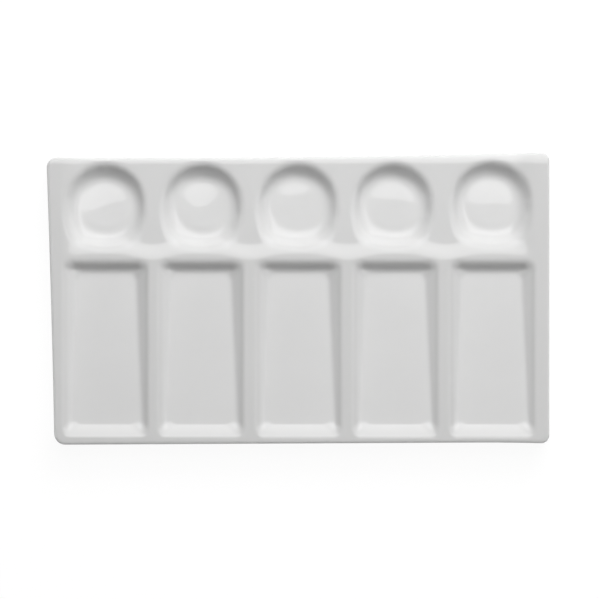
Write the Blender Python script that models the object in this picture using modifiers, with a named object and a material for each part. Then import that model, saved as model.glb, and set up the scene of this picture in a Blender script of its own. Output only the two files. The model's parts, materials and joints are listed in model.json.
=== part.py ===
"""Ten-well porcelain mixing palette, at rest on its foot, in metres with +Z up.

The palette is one slip-cast porcelain body with two fired skins of glaze on it.  Its back row is
five round wells, and its front row is five long wells whose floors slant down towards the back.
The cast body is hollow underneath, so the backs of the wells show there, and it stands on a bare
foot.  One skin covers the top, the wells and the outer skirt, and the other one lines the hollow.

The origin is on the table under the middle of the palette.  +X runs along the rows, and +Y points
from the long wells to the round ones.

Every surface is the visible top surface moved straight into the material by a depth, so the skins
and the body stay parallel: see the depths in "Layers".
"""

import math

import bmesh
import bpy

# Outer form
LENGTH = 0.1905
WIDTH = 0.1111
HEIGHT = 0.016
CORNER_RADIUS = 0.0040
EDGE_RADIUS = 0.0018
SIDE_DRAFT = math.radians(1.0)

# Flat land between the rolled edges and the lips of the wells
SIDE_RIM = 0.0012
BACK_RIM = 0.0010
FRONT_RIM = 0.0013
CROSS_RIDGE = 0.0031
LONG_WELL_RIB = 0.0010
ROUND_WELL_RIB = 0.0038

# Wells
WELLS_PER_ROW = 5
LIP_RADIUS = 0.0024
ROUND_DEPTH = 0.0052
ROUND_SLOPE = math.radians(50)
ROUND_FLOOR_FILLET = 0.0040
LONG_BACK_DEPTH = 0.0056
LONG_FRONT_DEPTH = 0.0034
LONG_SLOPE = math.radians(55)
LONG_FLOOR_FILLET = 0.0026
LONG_MOUTH_CORNER = 0.0040
LONG_FLOOR_CORNER = 0.0025

# Thicknesses
GLAZE = 0.0004
GAP = 0.0003
WALL = 0.0028

# Foot and hollow
BARE_FOOT = 0.0015
FOOT_CHAMFER = 0.0005
HOLLOW_CORNER = 0.0030
HOLLOW_FILLET = 0.0020

# Layers: each surface's depth under the visible top surface
TOP_GLAZE_BACK = GLAZE
BODY_FACE = TOP_GLAZE_BACK + GAP
BODY_BACK = BODY_FACE + WALL
LINING_BACK = BODY_BACK + GAP
LINING_FACE = LINING_BACK + GLAZE

# Facets of the rounded forms
ROUND_STEPS = 24
CORNER_FACETS = 3
ARC_FACETS = 2

# How far a cutter runs past the face that it cuts
OVERRUN = 0.0020

# Places that follow from the sizes above
SKIRT_FLARE = (HEIGHT - BARE_FOOT) * math.tan(SIDE_DRAFT)
LAND_HALF_LENGTH = LENGTH / 2 - SKIRT_FLARE - EDGE_RADIUS
LAND_HALF_WIDTH = WIDTH / 2 - SKIRT_FLARE - EDGE_RADIUS
ROW_LENGTH = 2 * (LAND_HALF_LENGTH - SIDE_RIM)
LONG_WELL_WIDTH = (ROW_LENGTH - (WELLS_PER_ROW - 1) * LONG_WELL_RIB) / WELLS_PER_ROW
PITCH = LONG_WELL_WIDTH + LONG_WELL_RIB
ROUND_RADIUS = (PITCH - ROUND_WELL_RIB) / 2
ROUND_Y = LAND_HALF_WIDTH - BACK_RIM - ROUND_RADIUS
LONG_BACK_Y = ROUND_Y - ROUND_RADIUS - CROSS_RIDGE
LONG_FRONT_Y = FRONT_RIM - LAND_HALF_WIDTH


def clear_scene():
    for obj in list(bpy.data.objects):
        bpy.data.objects.remove(obj, do_unlink=True)


def add_collection(name, parent, hidden=False):
    collection = bpy.data.collections.new(name)
    parent.children.link(collection)
    collection.hide_render = hidden
    return collection


def ceramic(name, colour, roughness):
    material = bpy.data.materials.new(name)
    material.use_nodes = True
    shader = material.node_tree.nodes["Principled BSDF"]
    shader.inputs["Base Color"].default_value = (*colour, 1)
    shader.inputs["Roughness"].default_value = roughness
    shader.inputs["Metallic"].default_value = 0
    return material


def add_object(name, mesh, collection):
    obj = bpy.data.objects.new(name, mesh)
    collection.objects.link(obj)
    return obj


def mesh_from(name, shape):
    bmesh.ops.recalc_face_normals(shape, faces=shape.faces)
    mesh = bpy.data.meshes.new(name)
    shape.to_mesh(mesh)
    shape.free()
    return mesh


def bevel(shape, edges, width, facets):
    bmesh.ops.bevel(
        shape,
        geom=edges,
        offset=width,
        offset_type="OFFSET",
        segments=facets,
        profile=0.5,
        affect="EDGES",
    )


def level_edges(shape, height):
    """The edges that lie at one height."""
    return [edge for edge in shape.edges if all(abs(v.co.z - height) < 1e-6 for v in edge.verts)]


def block(name, collection, inside, bottom, corner, edge, chamfer=0):
    """A drafted block, its skirt and top lying a depth inside the visible ones, with a rounded top edge."""
    top = HEIGHT - inside
    shape = bmesh.new()
    bmesh.ops.create_cube(shape, size=2)
    for vertex in shape.verts:
        height = top if vertex.co.z > 0 else bottom
        inset = inside + (height - BARE_FOOT) * math.tan(SIDE_DRAFT)
        vertex.co.x *= LENGTH / 2 - inset
        vertex.co.y *= WIDTH / 2 - inset
        vertex.co.z = height
    upright = [e for e in shape.edges if abs(e.verts[0].co.z - e.verts[1].co.z) > (top - bottom) / 2]
    bevel(shape, upright, corner, CORNER_FACETS)
    bevel(shape, level_edges(shape, top), edge, ARC_FACETS)
    if chamfer:
        bevel(shape, level_edges(shape, bottom), chamfer, 1)
    return add_object(name, mesh_from(name, shape), collection)


def wall_width(depth, slope, fillet):
    """How far a well's wall reaches in from its lip, with the lip's roll and the floor's fillet."""
    rounds = LIP_RADIUS + fillet
    straight_rise = depth - rounds * (1 - math.cos(slope))
    return rounds * math.sin(slope) + straight_rise / math.tan(slope)


def wall_profile(depth, slope, fillet, inside):
    """Points (reach, height) down a well's wall, a depth inside the visible one.

    Reach is measured inwards from the lip's outer line, and height up from the visible rim.  The
    wall is an arc that rolls in from the rim, a straight slope tangent to it, and an arc that ends
    level on the floor.  Both arcs keep their centres, so the lip's radius shrinks and the floor's
    grows by the depth.  Deeper inside than the lip's radius there is no lip, and the slope runs on.
    """
    lip = LIP_RADIUS - inside
    if lip > 0:
        angles = [slope * step / ARC_FACETS for step in range(1, ARC_FACETS + 1)]
        points = [(lip * math.sin(a), lip * math.cos(a) - LIP_RADIUS) for a in angles]
        first_reach, first_height = points[0]
        overshoot = 0.2
        start = (-overshoot * first_reach, -inside - overshoot * (first_height + inside))
        points.insert(0, start)
    else:
        reach, height = lip * math.sin(slope), lip * math.cos(slope) - LIP_RADIUS
        rise = OVERRUN - inside - height
        points = [(reach - rise / math.tan(slope), height + rise)]
    floor = fillet + inside
    width = wall_width(depth, slope, fillet)
    angles = [slope * step / ARC_FACETS for step in range(ARC_FACETS, -1, -1)]
    points += [(width - floor * math.sin(a), fillet - depth - floor * math.cos(a)) for a in angles]
    if lip > 0:
        points.insert(0, (points[0][0], OVERRUN - inside))
    return points


def round_well(name, collection, centre_x, inside):
    """A round well as a solid: its wall's profile turned about the well's axis."""
    wall = wall_profile(ROUND_DEPTH, ROUND_SLOPE, ROUND_FLOOR_FILLET, inside)
    profile = [(ROUND_RADIUS - reach, height) for reach, height in wall]
    profile = [(0, wall[0][1])] + profile + [(0, wall[-1][1])]
    mesh = bpy.data.meshes.new(name)
    corners = [(radius, 0, height) for radius, height in profile]
    mesh.from_pydata(corners, [(i, i + 1) for i in range(len(corners) - 1)], [])
    obj = add_object(name, mesh, collection)
    obj.location = (centre_x, ROUND_Y, HEIGHT)
    turn = obj.modifiers.new("turn", "SCREW")
    turn.steps = ROUND_STEPS
    turn.render_steps = ROUND_STEPS
    turn.use_merge_vertices = True
    turn.merge_threshold = 0.00001
    return obj


def rounded_outline(half_width, back, front, radius):
    """Points round a rectangle with rounded corners, counter-clockwise from its right back corner."""
    corners = ((1, back, 0), (-1, back, 1), (-1, front, 2), (1, front, 3))
    points = []
    for side, end, quarter in corners:
        middle_x = side * (half_width - radius)
        middle_y = end - math.copysign(radius, end - (back + front) / 2)
        for step in range(CORNER_FACETS + 1):
            turn = (quarter + step / CORNER_FACETS) * math.pi / 2
            points.append((middle_x + radius * math.cos(turn), middle_y + radius * math.sin(turn)))
    return points


def long_well(name, collection, centre_x, inside):
    """A long well as a solid: a loft from its mouth to its smaller, slanting floor.

    Each point of the mouth's outline has its partner on the floor's, and the wall between the two
    follows the wall's profile at the depth that the slanting floor has there.
    """
    back_width = wall_width(LONG_BACK_DEPTH, LONG_SLOPE, LONG_FLOOR_FILLET)
    front_width = wall_width(LONG_FRONT_DEPTH, LONG_SLOPE, LONG_FLOOR_FILLET)
    floor_back = LONG_BACK_Y - back_width
    floor_front = LONG_FRONT_Y + front_width
    fall = (LONG_BACK_DEPTH - LONG_FRONT_DEPTH) / (floor_back - floor_front)
    mouth = rounded_outline(LONG_WELL_WIDTH / 2, LONG_BACK_Y, LONG_FRONT_Y, LONG_MOUTH_CORNER)
    floor = rounded_outline(LONG_WELL_WIDTH / 2, floor_back, floor_front, LONG_FLOOR_CORNER)
    columns = []
    for (mouth_x, mouth_y), (floor_x, floor_y) in zip(mouth, floor):
        depth = LONG_FRONT_DEPTH + fall * (floor_y - floor_front)
        width = wall_width(depth, LONG_SLOPE, LONG_FLOOR_FILLET)
        floor_x -= math.copysign(width, floor_x)
        column = []
        for reach, height in wall_profile(depth, LONG_SLOPE, LONG_FLOOR_FILLET, inside):
            share = reach / width
            x = mouth_x + share * (floor_x - mouth_x)
            y = mouth_y + share * (floor_y - mouth_y)
            column.append((centre_x + x, y, HEIGHT + height))
        columns.append(column)
    shape = bmesh.new()
    rings = [[shape.verts.new(column[level]) for column in columns] for level in range(len(columns[0]))]
    for upper, lower in zip(rings, rings[1:]):
        for i, corner in enumerate(upper):
            shape.faces.new((upper[i - 1], corner, lower[i], lower[i - 1]))
    shape.faces.new(rings[0])
    shape.faces.new(rings[-1])
    return add_object(name, mesh_from(name, shape), collection)


def wells(name, parent, inside):
    """A collection with the ten wells as solids, their surfaces a depth inside the visible ones."""
    collection = add_collection(name, parent, hidden=True)
    for number in range(WELLS_PER_ROW):
        centre_x = (number - (WELLS_PER_ROW - 1) / 2) * PITCH
        helpers = (
            round_well(f"{name}_round_{number + 1}", collection, centre_x, inside),
            long_well(f"{name}_long_{number + 1}", collection, centre_x, inside),
        )
        for helper in helpers:
            helper.hide_render = True
            helper.display_type = "WIRE"
    return collection


def cut(obj, cutter):
    """Cuts an object, or every object of a collection, out of obj."""
    modifier = obj.modifiers.new(f"cut_{cutter.name}", "BOOLEAN")
    modifier.operation = "DIFFERENCE"
    modifier.solver = "EXACT"
    if isinstance(cutter, bpy.types.Collection):
        modifier.operand_type = "COLLECTION"
        modifier.collection = cutter
    else:
        modifier.object = cutter
        cutter.hide_render = True
        cutter.display_type = "WIRE"


def top_form(name, collection, cutters, inside, bottom, chamfer=0):
    """The palette's outer form with its wells, a depth inside the visible surface."""
    corner = CORNER_RADIUS - inside
    form = block(name, collection, inside, bottom, corner, EDGE_RADIUS - inside, chamfer)
    cut(form, wells(f"{name}_wells", cutters, inside))
    return form


def hollow_form(name, collection, cutters, inside, bottom):
    """The space under the palette, which the backs of the wells stand down into."""
    shrink = inside - BODY_BACK
    form = block(name, collection, inside, bottom, HOLLOW_CORNER - shrink, HOLLOW_FILLET - shrink)
    cut(form, wells(f"{name}_well_backs", cutters, inside))
    return form


def settle(obj, material):
    """Turns an object's modifiers into its mesh, smooth where it is round, with its one material."""
    graph = bpy.context.evaluated_depsgraph_get()
    mesh = bpy.data.meshes.new_from_object(obj.evaluated_get(graph))
    mesh.name = obj.name
    obj.modifiers.clear()
    obj.data = mesh
    mesh.shade_smooth()
    mesh.set_sharp_from_angle(angle=math.radians(40))
    mesh.materials.clear()
    mesh.materials.append(material)


def build():
    clear_scene()
    scene_root = bpy.context.scene.collection
    palette = add_collection("mixing_palette", scene_root)
    cutters = add_collection("cutters", scene_root, hidden=True)
    biscuit = ceramic("biscuit_porcelain", (0.80, 0.78, 0.74), 0.65)
    glaze = ceramic("clear_white_glaze", (0.82, 0.82, 0.81), 0.08)

    top_glaze = top_form("top_glaze", palette, cutters, 0, BARE_FOOT)
    cut(top_glaze, top_form("under_top_glaze", cutters, cutters, TOP_GLAZE_BACK, -OVERRUN))

    body = top_form("porcelain_body", palette, cutters, BODY_FACE, 0, FOOT_CHAMFER)
    cut(body, hollow_form("hollow", cutters, cutters, BODY_BACK, -OVERRUN))

    underside_glaze = hollow_form("underside_glaze", palette, cutters, LINING_BACK, BARE_FOOT)
    cut(underside_glaze, hollow_form("lined_hollow", cutters, cutters, LINING_FACE, -OVERRUN))

    for obj, material in ((body, biscuit), (top_glaze, glaze), (underside_glaze, glaze)):
        settle(obj, material)


build()
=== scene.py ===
"""The looks of a ten-well porcelain mixing palette: a slip-cast body with its two skins of glaze.

All three pieces come from one description of the palette's top surface and one of the hollow under
it.  A surface is a grid over the flat part of the form, and rings that carry its border over the
rolled edge and down the skirt.  Lengths in the formulas are millimetres until a mesh is made.
"""

import json
import math

import bpy
import numpy as np
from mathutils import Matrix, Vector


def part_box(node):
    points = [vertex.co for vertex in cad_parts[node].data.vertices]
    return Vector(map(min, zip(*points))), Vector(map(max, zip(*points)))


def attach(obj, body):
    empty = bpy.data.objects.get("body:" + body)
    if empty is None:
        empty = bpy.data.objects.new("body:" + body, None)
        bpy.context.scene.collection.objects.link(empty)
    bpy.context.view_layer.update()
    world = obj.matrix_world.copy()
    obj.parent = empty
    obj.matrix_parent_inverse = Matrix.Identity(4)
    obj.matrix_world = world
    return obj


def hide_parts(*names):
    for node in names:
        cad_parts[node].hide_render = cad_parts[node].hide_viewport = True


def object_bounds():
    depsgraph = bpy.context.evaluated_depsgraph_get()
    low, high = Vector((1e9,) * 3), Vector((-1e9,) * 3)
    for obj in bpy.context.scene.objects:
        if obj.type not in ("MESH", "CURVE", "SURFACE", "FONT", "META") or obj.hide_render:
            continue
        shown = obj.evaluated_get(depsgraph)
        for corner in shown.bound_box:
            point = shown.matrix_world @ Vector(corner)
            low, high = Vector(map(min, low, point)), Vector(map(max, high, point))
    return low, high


MM = 0.001
LAMP_DISTANCE = 1.2


def as_lists(bounds):
    return [[float(value) for value in corner] for corner in bounds]


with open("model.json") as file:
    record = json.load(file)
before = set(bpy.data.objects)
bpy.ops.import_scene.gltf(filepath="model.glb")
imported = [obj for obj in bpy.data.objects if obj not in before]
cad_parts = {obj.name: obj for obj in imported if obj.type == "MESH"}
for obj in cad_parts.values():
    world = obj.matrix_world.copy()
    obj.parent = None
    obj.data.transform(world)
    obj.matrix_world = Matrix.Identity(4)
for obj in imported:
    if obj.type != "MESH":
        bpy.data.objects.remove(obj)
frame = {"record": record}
cad_bounds = as_lists(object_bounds())
low, high = np.array(cad_bounds) / MM

# Outer form, read from the frame
HALF_LENGTH = (high[0] - low[0]) / 2
HALF_WIDTH = (high[1] - low[1]) / 2
TOP = high[2]
GLAZE_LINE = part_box("top_glaze")[0].z / MM
OPENINGS = {
    hole["name"]: np.array(hole["box_m"]) / MM
    for hole in frame["record"]["physics"]["openings"]
}

# Rolled edge and skirt, and the radii of its corners by side and end, with the least that shrinking
# leaves them
ROLL = 2.60
ROLL_POWER = 5.0
DRAFT = math.radians(1.0)
FLARE = 0.25
CORNERS = {(-1, 1): 3.9, (1, 1): 3.2, (-1, -1): 4.6, (1, -1): 3.3}
LEAST_CORNER = 0.5

# Skins and walls
GLAZE_THICKNESS = 0.30
SKIN_GAP = 0.10
GLAZE_BEAD = 0.17
WALL_THICKNESS = 4.2
HOLLOW_ROLL = 2.6
FOOT_ROUND = 0.45
TOP_HALF = (HALF_LENGTH - ROLL - FLARE, HALF_WIDTH - ROLL - FLARE)
HOLLOW_INSET = WALL_THICKNESS + HOLLOW_ROLL
HOLLOW_HALF = (HALF_LENGTH - HOLLOW_INSET, HALF_WIDTH - HOLLOW_INSET)
HOLLOW_SHRINK = 1.0
BACK_LIP = 2.0
CEILING_CLEARANCE = 0.1

# Powers that join the wells, and their backs: the higher, the sharper the rib between two
WELL_BLEND = 3
BACK_BLEND = 4

# The surfaces' grids: spacing of their lines by stretch, and rings over the roll and the skirt,
# which crowd towards the roll's top; and shares of a right angle at the foot's rings
RIM = 2.0
RIM_SPACING = 0.34
FLOOR_HALF = 12.5
FLOOR_SPACING = 0.85
WALL_SPACING = 0.55
ALONG_STRETCHES = [(-45.0, 1.25), (4.0, 0.5), (22.0, 0.62)]
FRONT_RIM_SPACING = 0.45
ROLL_RINGS = 10
RING_CROWDING = 1.2
SKIRT_RINGS = 7
FOOT_TURNS = (0.3, 0.6, 0.85, 1.0)

# The round row's land lies lower than the long row's, and the cross ridge joins the two
LAND_CLEARANCE = 0.06
ROW_STEP = 1.3
RIDGE_CREST = 16.4
RIDGE_BACK = 23.2
RIDGE_DIP = 2.2
STEP_FADE = (80.0, 90.0)
SHOULDER_WIDTH = 4.8
SHOULDER_DROP = 1.2

# Round wells: the front half of each spreads out towards the ridge, with a longer wall, and most
# at its two front corners; the turns are the sines of directions between which a spread changes
ROUND_RADIUS = 16.6
ROUND_DEPTH = 4.6
ROUND_DISH = 0.9
ROUND_SLOPE = math.radians(56)
ROUND_LIP = 3.2
ROUND_FILLET = 4.1
FRONT_SPREAD = 2.0
FRONT_TURN = (-0.05, 0.75)
FRONT_CORNERS = 1.5
CORNER_TURN_IN = (0.4, 0.8)
CORNER_TURN_OUT = (0.82, 1.0)
ROUND_SHIFTS = ((1.1, -0.2), (0.7, -0.1), (-0.2, 0.0), (-1.1, 0.1), (-0.8, 0.8))

# Long wells: (slope, lip radius, floor fillet) of their sides, backs and fronts, and the shares of
# a corner's radius between which the side's profile fades into the end's
LONG_HALF_WIDTH = 17.05
LONG_BACK_DEPTH = 4.1
LONG_FRONT_DEPTH = 1.8
LONG_SIDE = (math.radians(38), 2.4, 2.2)
LONG_REAR = (math.radians(60), 3.4, 3.5)
LONG_NOSE = (math.radians(23), 0.7, 0.7)
LONG_CORNER = 3.4
PROFILE_FADE = (-0.5, 0.5)
LONG_SHIFTS = (1.4, 0.4, 0.3, -0.1, -0.6)
LONG_BACK = 15.4
LONG_FRONT = -52.4

# Each round floor is a low cushion, leaning to +X and +Y in degrees, twisted and bowed
CUSHION = 0.30
CUSHION_RADIUS = 9.6
CUSHION_POWER = 1.2
FLOOR_FADE = (0.8, 1.35)
FLOOR_FORMS = (
    (-0.4, 4.3, -0.0014, 0.0),
    (-0.3, 4.4, 0.0, 0.00085),
    (0.0, 1.8, 0.0, 0.00015),
    (0.3, 2.4, 0.0022, 0.0),
    (0.2, 3.0, 0.0014, 0.0),
)

# Heights of the kiln waves, and how far the kiln moved each side of the outline
LONG_WAVE = 0.030
CROSS_WAVE = 0.018
SHORT_WAVE = 0.006
LEFT_LEAN = 2.75
BACK_SAG = 1.95
FRONT_SAG = 0.48
FRONT_CORNER_BACK = 0.5


def smooth_step(start, end, value):
    """0 before start, 1 after end, and the cubic 3t^2 - 2t^3 between them."""
    share = np.clip((value - start) / (end - start), 0, 1)
    return share * share * (3 - 2 * share)


def corner_min(a, b, radius):
    """The lesser of two distances, rounded where they are closer than a radius.

    It is the inset u at which a rounded corner of that radius passes through the point that lies
    a and b inside the two sides: (radius - a + u)^2 + (radius - b + u)^2 = radius^2.
    """
    total = 2 * radius - a - b
    squares = (radius - a) ** 2 + (radius - b) ** 2
    rounded = (np.sqrt(np.maximum(total**2 - 2 * squares + 2 * radius**2, 0)) - total) / 2
    return np.where(np.abs(a - b) < radius, rounded, np.minimum(a, b))


def wall_width(depth, slope, lip, fillet):
    """How far a wall reaches in, from its lip's outer line to where its floor is level."""
    straight_rise = depth - (lip + fillet) * (1 - math.cos(slope))
    return (lip + fillet) * math.sin(slope) + straight_rise / math.tan(slope)


def wall_drop(reach, depth, slope, lip, fillet):
    """Depth of a well's wall at a reach inside its lip: an arc, a straight slope and an arc."""
    lip_end = lip * math.sin(slope)
    width = wall_width(depth, slope, lip, fillet)
    fillet_start = width - fillet * math.sin(slope)
    on_lip = lip - np.sqrt(np.maximum(lip**2 - np.clip(reach, 0, lip_end) ** 2, 0))
    on_slope = lip * (1 - math.cos(slope)) + (reach - lip_end) * math.tan(slope)
    left = np.clip(width - reach, 0, fillet * math.sin(slope))
    on_fillet = depth - fillet + np.sqrt(np.maximum(fillet**2 - left**2, 0))
    drop = np.where(reach < lip_end, on_lip, np.where(reach < fillet_start, on_slope, on_fillet))
    return np.where(reach <= 0, 0, drop)


def blend_drops(drops, power):
    """Depths of several wells joined: the root of the sum of their powers, smooth on the ribs."""
    total = sum(np.maximum(drop, 0) ** power for drop in drops)
    return total ** (1 / power)


def opening_middle(name):
    return OPENINGS[name].mean(axis=0)[:2]


ROUND_CENTRES = [
    opening_middle(f"round_well_{n + 1}") + shift for n, shift in enumerate(ROUND_SHIFTS)
]
PITCH = opening_middle("long_well_4")[0] - opening_middle("long_well_3")[0]
LONG_CENTRES = [
    opening_middle(f"long_well_{n + 1}")[0] + shift for n, shift in enumerate(LONG_SHIFTS)
]


def floor_rise(x, y, lean_x, lean_y, twist, bow):
    """A round floor's rise over a level one: a cushion, tilted and warped.

    The cushion's height is h (1 - s^2)^p at the share s of its radius.  The tilt and the warp,
    twist x y less bow x^2 y, fade out over the wall round the cushion.
    """
    share = np.hypot(x, y) / CUSHION_RADIUS
    cushion = CUSHION * (1 - np.clip(share, 0, 1) ** 2) ** CUSHION_POWER
    tilt = math.tan(math.radians(lean_x)) * x + math.tan(math.radians(lean_y)) * y
    warp = twist * x * y - bow * x**2 * y
    return cushion - (tilt + warp) * (1 - smooth_step(*FLOOR_FADE, share))


def round_drop(x, y, number, outside=0, thickness=0):
    """Depth of a round well at (x, y); outside widens it, and thickness turns it into its back.

    The mouth is a circle whose radius grows by the front spread as its direction turns to the
    front, and by the front corners' spread about halfway there, and the wall stretches with it, so
    the floor stays round.  The floor rises to its left and right by the dish.
    """
    centre = ROUND_CENTRES[number]
    dx, dy = x - centre[0], y - centre[1]
    away = np.hypot(dx, dy)
    lip = BACK_LIP if thickness else ROUND_LIP
    depth = ROUND_DEPTH - ROUND_DISH * smooth_step(0, 1, np.abs(dx) / ROUND_RADIUS)
    width = wall_width(depth, ROUND_SLOPE, lip, ROUND_FILLET + thickness)
    forward = -dy / np.maximum(away, 1e-6)
    corners = smooth_step(*CORNER_TURN_IN, forward) * (1 - smooth_step(*CORNER_TURN_OUT, forward))
    spread = FRONT_SPREAD * smooth_step(*FRONT_TURN, forward) + FRONT_CORNERS * corners
    reach = (ROUND_RADIUS + spread + outside - away) * width / (width + spread)
    drop = wall_drop(reach, depth, ROUND_SLOPE, lip, ROUND_FILLET + thickness)
    return drop - floor_rise(dx, dy, *FLOOR_FORMS[number])


def long_drop(x, y, number, outside=0, thickness=0):
    """Depth of a long well at (x, y), whose floor falls evenly from its front to its back.

    Its mouth is a rounded rectangle, and the reach is the inset of the one through (x, y).  Its
    side, back and front walls have profiles of their own, which fade into each other in a corner.
    """
    side = LONG_HALF_WIDTH + outside - np.abs(x - LONG_CENTRES[number])
    back = LONG_BACK + outside - y
    front = y + outside - LONG_FRONT
    end = np.minimum(back, front)
    reach = corner_min(side, end, LONG_CORNER + outside)
    along = np.clip((y - LONG_FRONT) / (LONG_BACK - LONG_FRONT), 0, 1)
    depth = LONG_FRONT_DEPTH + (LONG_BACK_DEPTH - LONG_FRONT_DEPTH) * along

    def profile(slope, lip, fillet):
        return wall_drop(reach, depth, slope, BACK_LIP if thickness else lip, fillet + thickness)

    at_end = smooth_step(*PROFILE_FADE, (side - end) / LONG_CORNER)
    end_drop = np.where(back < front, profile(*LONG_REAR), profile(*LONG_NOSE))
    return (1 - at_end) * profile(*LONG_SIDE) + at_end * end_drop


def undulation(x, y):
    """Kiln waves: three slow ripples, products and sums of sines across and along."""
    long_wave = LONG_WAVE * np.sin(x / 11.3 + 0.4) * np.cos(y / 13.1 - 0.7)
    cross_wave = CROSS_WAVE * np.sin(x / 6.1 + y / 9.7 + 1.9)
    short_wave = SHORT_WAVE * np.sin(x / 3.3 - y / 4.1 + 0.8)
    return long_wave + cross_wave + short_wave


def land_level(x, y):
    """Height of the land: the long row's, stepping down over the cross ridge to the round row's.

    The step lies nearer the front between two long wells, where the ridge runs into their rib, and
    fades out beside the row.  The back shoulder falls by the square of the way across it.
    """
    between = 0.5 - 0.5 * np.cos(2 * np.pi * (x - LONG_CENTRES[2]) / PITCH)
    crest = RIDGE_CREST - RIDGE_DIP * between**2
    ramp = smooth_step(0, 1, (y - crest) / (RIDGE_BACK - RIDGE_CREST))
    step = ROW_STEP * (1 - smooth_step(*STEP_FADE, np.abs(x))) * ramp
    shoulder = np.clip((y - (HALF_WIDTH - SHOULDER_WIDTH)) / SHOULDER_WIDTH, 0, 1)
    return TOP - LAND_CLEARANCE - step - SHOULDER_DROP * shoulder**2


def top_height(x, y):
    """Height of the top: the land less the joined wells, and waves whose crests reach the land."""
    drops = [round_drop(x, y, n) for n in range(5)] + [long_drop(x, y, n) for n in range(5)]
    crests = LONG_WAVE + CROSS_WAVE + SHORT_WAVE
    return land_level(x, y) - blend_drops(drops, WELL_BLEND) + undulation(x, y) - crests


def hollow_height(x, y):
    """The hollow's ceiling: the wells' backs are their fronts a wall's thickness further out."""
    round_out = (WALL_THICKNESS + BACK_LIP - ROUND_LIP) * math.tan(ROUND_SLOPE / 2)
    long_out = WALL_THICKNESS * math.tan(LONG_SIDE[0] / 2)
    drops = [round_drop(x, y, n, round_out, WALL_THICKNESS) for n in range(5)]
    drops += [long_drop(x, y, n, long_out, WALL_THICKNESS) for n in range(5)]
    ceiling = land_level(x, y) - WALL_THICKNESS - CEILING_CLEARANCE
    return ceiling - blend_drops(drops, BACK_BLEND) + 2 * undulation(x, y)


def kiln_warp(x, y):
    """The outline's warp: its left side leans in to the front, its back and front edges sag.

    Each edge's move is a power or a parabola of the place along it, and falls evenly to nothing at
    the opposite edge.
    """
    s, t = x / HALF_LENGTH, y / HALF_WIDTH
    lean = np.clip((0.9 - t) / 1.8, 0, 1.05)
    left_in = LEFT_LEAN * (1.3 * lean - 0.3 * lean**2)
    back_in = BACK_SAG * (1 - np.clip((s + 0.5) / 1.43, 0, 1) ** 1.8)
    front_in = FRONT_SAG * (1 + s) - FRONT_CORNER_BACK * np.clip((s - 0.7) / 0.3, 0, 1) ** 2
    warped_x = x + left_in * (1 - s) / 2
    warped_y = y - back_in * (1 + t) / 2 + front_in * (1 - t) / 2
    return warped_x, warped_y


def lines(stops):
    """Grid lines through [(place, spacing to the next), ...], an even number between places."""
    parts = []
    for (start, spacing), (end, _) in zip(stops, stops[1:]):
        count = 2 * max(1, math.ceil((end - start) / spacing / 2))
        parts.append(np.linspace(start, end, count, endpoint=False))
    return np.append(np.concatenate(parts), stops[-1][0])


def grid_lines():
    """Lines across and along, as shares of the half sizes: dense on walls, sparse on floors."""
    half_length, half_width = TOP_HALF
    across = [(-half_length, RIM_SPACING), (-half_length + RIM, WALL_SPACING)]
    for centre in LONG_CENTRES:
        across += [(centre - FLOOR_HALF, FLOOR_SPACING), (centre + FLOOR_HALF, WALL_SPACING)]
    across += [(half_length - RIM, RIM_SPACING), (half_length, 0)]
    along = [(-half_width, RIM_SPACING), (-half_width + RIM, FRONT_RIM_SPACING)] + ALONG_STRETCHES
    along += [(half_width - RIM, RIM_SPACING), (half_width, 0)]
    return lines(across) / half_length, lines(along) / half_width


def bend_corners(x, y, half_length, half_width, shrink):
    """A rectangular grid with its corners rounded, and the outward direction along its border.

    In a corner of radius r, the square ring at m = max(p, q) from the corner's centre becomes the
    quarter circle of radius m, and its points turn evenly along it.
    """
    new_x, new_y = x.copy(), y.copy()
    on_side = np.isclose(np.abs(border(x)), half_length)
    out_x = np.where(on_side, np.sign(border(x)), 0.0)
    out_y = np.where(on_side, 0.0, np.sign(border(y)))
    for (side, end), radius in CORNERS.items():
        radius = max(radius - shrink, LEAST_CORNER)
        p = side * x - (half_length - radius)
        q = end * y - (half_width - radius)
        here = (p > 0) & (q > 0)
        ring = np.maximum(np.maximum(p, q), 1e-9)
        turn = np.where(p >= q, np.pi / 4 * q / ring, np.pi / 2 - np.pi / 4 * p / ring)
        new_x = np.where(here, side * (half_length - radius + ring * np.cos(turn)), new_x)
        new_y = np.where(here, end * (half_width - radius + ring * np.sin(turn)), new_y)
        out_x = np.where(border(here), side * np.cos(border(turn)), out_x)
        out_y = np.where(border(here), end * np.sin(border(turn)), out_y)
    return new_x, new_y, out_x, out_y


def border(array):
    """A grid's border as one loop, counter-clockwise seen from above."""
    return np.concatenate([array[0, :-1], array[:-1, -1], array[-1, :0:-1], array[:0:-1, 0]])


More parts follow.
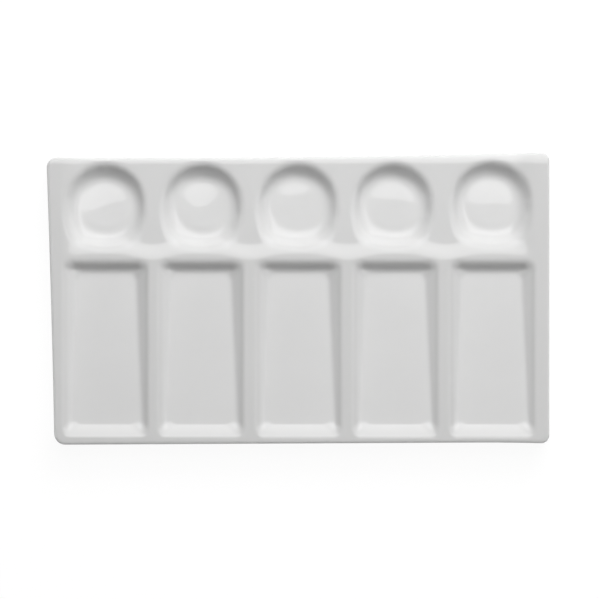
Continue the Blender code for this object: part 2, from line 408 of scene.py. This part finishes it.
def form_surface(height, across, along, half_size, roll, shrink, foot):
    """Points of a form, open below: its grid, then its rings; and the grid's shape.

    Ring k lies e_k outside the flat part.  Over the roll, e and the drop follow a superellipse:
    e = roll sin(a)^(2/n) and the drop is roll (1 - cos(a)^(2/n)).  Below it the skirt flares by
    the draft, down to the foot's height.
    """
    half_length, half_width = half_size
    flat_x, flat_y = np.meshgrid(across * half_length, along * half_width)
    x, y, out_x, out_y = bend_corners(flat_x, flat_y, half_length, half_width, shrink)
    edge_x, edge_y = border(x), border(y)
    warped_x, warped_y = kiln_warp(x, y)
    grid = np.stack([warped_x, warped_y, height(warped_x, warped_y)], axis=-1)

    def ring(outset, drop):
        ring_x, ring_y = kiln_warp(edge_x + outset * out_x, edge_y + outset * out_y)
        return ring_x, ring_y, height(ring_x, ring_y) - drop

    turns = (math.pi / 2 - DRAFT) * np.linspace(0, 1, ROLL_RINGS + 1)[1:] ** RING_CROWDING
    outsets = roll * np.sin(turns) ** (2 / ROLL_POWER)
    drops = roll * (1 - np.cos(turns) ** (2 / ROLL_POWER))
    rings = [ring(outset, drop) for outset, drop in zip(outsets, drops)]
    shoulder = rings[-1][2]
    for share in np.linspace(0, 1, SKIRT_RINGS + 1)[1:]:
        level = shoulder + share * (foot - shoulder)
        side_x, side_y, _ = ring(outsets[-1] + (shoulder - level) * math.tan(DRAFT), 0)
        rings.append((side_x, side_y, level))
    points = np.concatenate([grid.reshape(-1, 3)] + [np.stack(one, axis=-1) for one in rings])
    return points, grid.shape[:2]


def form_faces(shape, point_count, step=1):
    """Quads of a form's grid and rings, and its rim, through every step-th line.

    The quads face up and out.
    """
    rows, columns = shape
    loop = 2 * (rows + columns - 2)
    index = np.arange(rows * columns).reshape(rows, columns)
    levels = [border(index)]
    levels += [first + np.arange(loop) for first in range(rows * columns, point_count, loop)]
    index = index[::step, ::step]
    levels = [level[::step] for level in levels]
    cells = np.stack([index[:-1, :-1], index[:-1, 1:], index[1:, 1:], index[1:, :-1]], axis=-1)
    quads = [cells.reshape(-1, 4)]
    for inner, outer in zip(levels, levels[1:]):
        quads.append(np.stack([outer, np.roll(outer, -1), np.roll(inner, -1), inner], axis=-1))
    return np.concatenate(quads), levels[-1]


def vertex_normals(points, quads):
    """Each point's normal: the sum of the cross products of its quads' diagonals, made unit."""
    first, second, third, fourth = (points[quads[:, corner]] for corner in range(4))
    facing = np.cross(third - first, fourth - second)
    normals = np.zeros_like(points)
    for corner in range(4):
        np.add.at(normals, quads[:, corner], facing)
    return normals / np.maximum(np.linalg.norm(normals, axis=1, keepdims=True), 1e-12)


def level_normals(normals):
    """Normals with their rise removed."""
    flat = normals * (1, 1, 0)
    return flat / np.maximum(np.linalg.norm(flat, axis=1, keepdims=True), 1e-12)


def foot_rings(ring, outward, radius, inward_sign):
    """Rings that turn under from a skirt's lowest ring, on a quarter circle down by its radius."""
    turns = np.array(FOOT_TURNS)[:, None, None] * math.pi / 2
    sideways = inward_sign * radius * (1 - np.cos(turns)) * outward
    return (ring + sideways - radius * np.sin(turns) * (0, 0, 1)).reshape(-1, 3)


def make_piece(name, points, faces, material):
    """A mesh object at the origin, from points in millimetres and arrays of faces."""
    mesh = bpy.data.meshes.new(name)
    corners = np.concatenate([group.reshape(-1) for group in faces]).astype(np.int32)
    sizes = np.concatenate([np.full(len(group), group.shape[1]) for group in faces])
    starts = np.concatenate([[0], np.cumsum(sizes)[:-1]]).astype(np.int32)
    mesh.vertices.add(len(points))
    mesh.vertices.foreach_set("co", (points * MM).astype(np.float32).reshape(-1))
    mesh.loops.add(len(corners))
    mesh.loops.foreach_set("vertex_index", corners)
    mesh.polygons.add(len(sizes))
    mesh.polygons.foreach_set("loop_start", starts)
    mesh.polygons.foreach_set("use_smooth", np.ones(len(sizes), bool))
    mesh.update(calc_edges=True)
    mesh.validate()
    mesh.materials.append(material)
    piece = bpy.data.objects.new(name, mesh)
    bpy.context.scene.collection.objects.link(piece)
    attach(piece, "root")
    return piece


def stitch(fine, coarse):
    """Triangles from a rim to one with half its points, each of which lies beside an even one."""
    even, odd, after_even = fine[0::2], fine[1::2], np.roll(fine, -2)[0::2]
    after = np.roll(coarse, -1)
    fans = [[even, coarse, odd], [odd, coarse, after], [odd, after, after_even]]
    return np.concatenate([np.stack(fan, axis=-1) for fan in fans])


def closed_skin(name, points, shape, push, material):
    """A closed skin: a surface, its back face pushed along its normals, and the band between rims.

    The back face takes every second line.  A negative push puts it outside, and the skin is
    turned over.
    """
    faces, rim = form_faces(shape, len(points))
    backs = points - push * vertex_normals(points, faces)
    back_faces, back_rim = form_faces(shape, len(points), step=2)
    back_rim = back_rim + len(points)
    groups = [faces, back_faces[:, ::-1] + len(points), stitch(rim, back_rim)]
    if push < 0:
        groups = [group[:, ::-1] for group in groups]
    every = np.concatenate([points, backs])
    flat = np.concatenate([group.reshape(-1) for group in groups])
    used, renumbered = np.unique(flat, return_inverse=True)
    ends = np.cumsum([group.size for group in groups])[:-1]
    groups = [part.reshape(group.shape) for part, group in zip(np.split(renumbered, ends), groups)]
    return make_piece(name, every[used], groups, material)


def glaze_material(name, light, dark, roughness):
    """Glossy white glaze: soft clouds of two whites, and a painted shade, a greyer white over the
    high land.
    """
    material = bpy.data.materials.new(name)
    material.use_nodes = True
    nodes, links = material.node_tree.nodes, material.node_tree.links
    shader = nodes["Principled BSDF"]
    place = nodes.new("ShaderNodeTexCoord")
    clouds = nodes.new("ShaderNodeTexNoise")
    clouds.inputs["Scale"].default_value = 45
    clouds.inputs["Detail"].default_value = 3
    links.new(place.outputs["Object"], clouds.inputs["Vector"])
    tint = nodes.new("ShaderNodeValToRGB")
    tint.color_ramp.elements[0].position = 0.3
    tint.color_ramp.elements[0].color = (*dark, 1)
    tint.color_ramp.elements[1].position = 0.7
    tint.color_ramp.elements[1].color = (*light, 1)
    links.new(clouds.outputs["Fac"], tint.inputs["Fac"])
    # Painted shade: the glaze turns a greyer white with height, so the high land looks darker than
    # the floors
    level = nodes.new("ShaderNodeSeparateXYZ")
    links.new(place.outputs["Object"], level.inputs["Vector"])
    land_shade = nodes.new("ShaderNodeMapRange")
    land_shade.interpolation_type = "SMOOTHSTEP"
    land_shade.inputs["From Min"].default_value = 0.0139
    land_shade.inputs["From Max"].default_value = 0.0155
    land_shade.inputs["To Max"].default_value = 0.55
    links.new(level.outputs["Z"], land_shade.inputs["Value"])
    # Mixes the painted shade's grey white into the glaze over the high land
    white = nodes.new("ShaderNodeMix")
    white.data_type = "RGBA"
    white.inputs["B"].default_value = (0.72, 0.72, 0.715, 1)
    links.new(land_shade.outputs["Result"], white.inputs["Factor"])
    links.new(tint.outputs["Color"], white.inputs["A"])
    links.new(white.outputs["Result"], shader.inputs["Base Color"])
    gloss = nodes.new("ShaderNodeMapRange")
    gloss.inputs["To Min"].default_value = roughness * 0.7
    gloss.inputs["To Max"].default_value = roughness * 1.4
    links.new(clouds.outputs["Fac"], gloss.inputs["Value"])
    links.new(gloss.outputs["Result"], shader.inputs["Roughness"])
    peel = nodes.new("ShaderNodeTexNoise")
    peel.inputs["Scale"].default_value = 420
    peel.inputs["Detail"].default_value = 2
    links.new(place.outputs["Object"], peel.inputs["Vector"])
    bump = nodes.new("ShaderNodeBump")
    bump.inputs["Strength"].default_value = 0.03
    bump.inputs["Distance"].default_value = 0.00003
    links.new(peel.outputs["Fac"], bump.inputs["Height"])
    links.new(bump.outputs["Normal"], shader.inputs["Normal"])
    shader.inputs["IOR"].default_value = 1.5
    return material


def biscuit_material():
    """Bare fired porcelain: a warm, matt, finely grained cream."""
    material = bpy.data.materials.new("biscuit")
    material.use_nodes = True
    nodes, links = material.node_tree.nodes, material.node_tree.links
    shader = nodes["Principled BSDF"]
    place = nodes.new("ShaderNodeTexCoord")
    grain = nodes.new("ShaderNodeTexNoise")
    grain.inputs["Scale"].default_value = 900
    grain.inputs["Detail"].default_value = 4
    links.new(place.outputs["Object"], grain.inputs["Vector"])
    tint = nodes.new("ShaderNodeValToRGB")
    tint.color_ramp.elements[0].color = (0.66, 0.62, 0.55, 1)
    tint.color_ramp.elements[1].color = (0.80, 0.77, 0.72, 1)
    links.new(grain.outputs["Fac"], tint.inputs["Fac"])
    links.new(tint.outputs["Color"], shader.inputs["Base Color"])
    bump = nodes.new("ShaderNodeBump")
    bump.inputs["Strength"].default_value = 0.4
    bump.inputs["Distance"].default_value = 0.0001
    links.new(grain.outputs["Fac"], bump.inputs["Height"])
    links.new(bump.outputs["Normal"], shader.inputs["Normal"])
    shader.inputs["Roughness"].default_value = 0.75
    return material


GRID = grid_lines()


def make_top_glaze(material):
    """The skin over the top and down the skirt, which ends in a bead above the foot."""
    points, shape = form_surface(
        top_height, *GRID, TOP_HALF, ROLL, ROLL + FLARE, GLAZE_LINE + GLAZE_BEAD
    )
    faces, rim = form_faces(shape, len(points))
    outward = level_normals(vertex_normals(points, faces)[rim])
    points = np.concatenate([points, foot_rings(points[rim], outward, GLAZE_BEAD, -1)])
    piece = closed_skin("top_glaze_skin", points, shape, GLAZE_THICKNESS, material)
    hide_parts("top_glaze")


def make_lining(material):
    """The skin under the ceiling and down the hollow's sides, ending in a bead above the foot."""
    points, shape = form_surface(
        hollow_height, *GRID, HOLLOW_HALF, HOLLOW_ROLL, HOLLOW_SHRINK, GLAZE_LINE + GLAZE_BEAD
    )
    faces, rim = form_faces(shape, len(points))
    outward = level_normals(vertex_normals(points, faces)[rim])
    points = np.concatenate([points, foot_rings(points[rim], outward, GLAZE_BEAD, 1)])
    piece = closed_skin("underside_glaze_skin", points, shape, -GLAZE_THICKNESS, material)
    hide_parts("underside_glaze")


def make_body(material):
    """The cast body: the top form and the hollow's, moved into the wall and joined at the foot."""
    into = GLAZE_THICKNESS + SKIN_GAP
    lines_used = [line[::2] for line in GRID]
    sides = []
    for height, half_size, roll, shrink, sign in (
        (top_height, TOP_HALF, ROLL, ROLL + FLARE, -1),
        (hollow_height, HOLLOW_HALF, HOLLOW_ROLL, HOLLOW_SHRINK, 1),
    ):
        points, shape = form_surface(height, *lines_used, half_size, roll, shrink, FOOT_ROUND)
        faces, rim = form_faces(shape, len(points))
        normals = vertex_normals(points, faces)
        normals[rim] = level_normals(normals[rim])
        points = points + sign * into * normals
        points = np.concatenate([points, foot_rings(points[rim], normals[rim], FOOT_ROUND, sign)])
        sides.append((points, *form_faces(shape, len(points))))
    (outside, outside_faces, outside_rim), (inside, inside_faces, inside_rim) = sides
    inside_rim = inside_rim + len(outside)
    corners = [np.roll(outside_rim, -1), outside_rim, inside_rim, np.roll(inside_rim, -1)]
    sole = np.stack(corners, axis=-1)
    faces = [np.concatenate([outside_faces, inside_faces[:, ::-1] + len(outside), sole])]
    piece = make_piece("biscuit_body", np.concatenate([outside, inside]), faces, material)
    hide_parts("porcelain_body")


def make_palette():
    glaze = glaze_material("clear_glaze", (0.85, 0.85, 0.847), (0.83, 0.83, 0.827), 0.03)
    lining = glaze_material("lining_glaze", (0.83, 0.83, 0.82), (0.78, 0.78, 0.77), 0.12)
    make_top_glaze(glaze)
    make_lining(lining)
    make_body(biscuit_material())


def make_floor():
    mesh = bpy.data.meshes.new("floor")
    reach = 6.0
    corners = [(-reach, -reach, 0), (reach, -reach, 0), (reach, reach, 0), (-reach, reach, 0)]
    mesh.from_pydata(corners, [], [(0, 1, 2, 3)])
    material = bpy.data.materials.new("pale_floor")
    material.use_nodes = True
    shader = material.node_tree.nodes["Principled BSDF"]
    shader.inputs["Base Color"].default_value = (0.12, 0.12, 0.12, 1)
    shader.inputs["Roughness"].default_value = 0.9
    shader.inputs["Specular IOR Level"].default_value = 0
    shader.inputs["Emission Color"].default_value = (1, 1, 1, 1)
    shader.inputs["Emission Strength"].default_value = 0.92
    mesh.materials.append(material)
    floor = bpy.data.objects.new("floor", mesh)
    bpy.context.scene.collection.objects.link(floor)


def softbox(name, off_zenith, azimuth, wide, tall, radiance, glossy=True):
    """A lamp that faces the palette, by its place and spans in degrees and by its radiance."""
    light = bpy.data.lights.new(name, "AREA")
    light.shape = "RECTANGLE"
    light.size = 2 * LAMP_DISTANCE * math.tan(math.radians(tall) / 2)
    light.size_y = 2 * LAMP_DISTANCE * math.tan(math.radians(wide) / 2)
    light.energy = radiance * math.pi * light.size * light.size_y
    lamp = bpy.data.objects.new(name, light)
    tip, turn = math.radians(off_zenith), math.radians(azimuth)
    lamp.rotation_euler = (0, tip, turn)
    across = LAMP_DISTANCE * math.sin(tip)
    height = LAMP_DISTANCE * math.cos(tip)
    lamp.location = (across * math.cos(turn), across * math.sin(turn), height)
    lamp.visible_camera = False
    lamp.visible_glossy = glossy
    bpy.context.scene.collection.objects.link(lamp)


def make_lights():
    """A large softbox behind the palette, its helpers, and a room bright near the horizon."""
    softbox("back_softbox", 36, 80, 64, 52, 1.9)
    softbox("key", 46, 72, 24, 24, 4.7, glossy=False)
    softbox("top_fill", 6, 80, 30, 30, 1.8, glossy=False)
    softbox("side_strip", 56, 4, 46, 7, 1.5)
    world = bpy.data.worlds.new("studio")
    world.use_nodes = True
    nodes, links = world.node_tree.nodes, world.node_tree.links
    direction = nodes.new("ShaderNodeTexCoord")
    parts = nodes.new("ShaderNodeSeparateXYZ")
    links.new(direction.outputs["Generated"], parts.inputs["Vector"])
    glow = nodes.new("ShaderNodeMapRange")
    glow.interpolation_type = "SMOOTHSTEP"
    glow.inputs["From Min"].default_value = 0.06
    glow.inputs["From Max"].default_value = 0.15
    glow.inputs["To Min"].default_value = 1.0
    glow.inputs["To Max"].default_value = 0.01
    links.new(parts.outputs["Z"], glow.inputs["Value"])
    links.new(glow.outputs["Result"], nodes["Background"].inputs["Strength"])
    nodes["Background"].inputs["Color"].default_value = (1, 1, 1, 1)
    bpy.context.scene.world = world


def make_camera():
    camera = bpy.data.cameras.new("camera")
    height = 1.1
    view_width = 0.2261
    camera.sensor_width = 36
    camera.lens = camera.sensor_width * (height - TOP * MM) / view_width
    view = bpy.data.objects.new("camera", camera)
    view.location = (0.00055, -0.00035, height)
    bpy.context.scene.collection.objects.link(view)
    bpy.context.scene.camera = view


make_palette()
make_floor()
make_lights()
make_camera()
bpy.context.scene.view_settings.view_transform = "Standard"
bpy.context.view_layer.update()
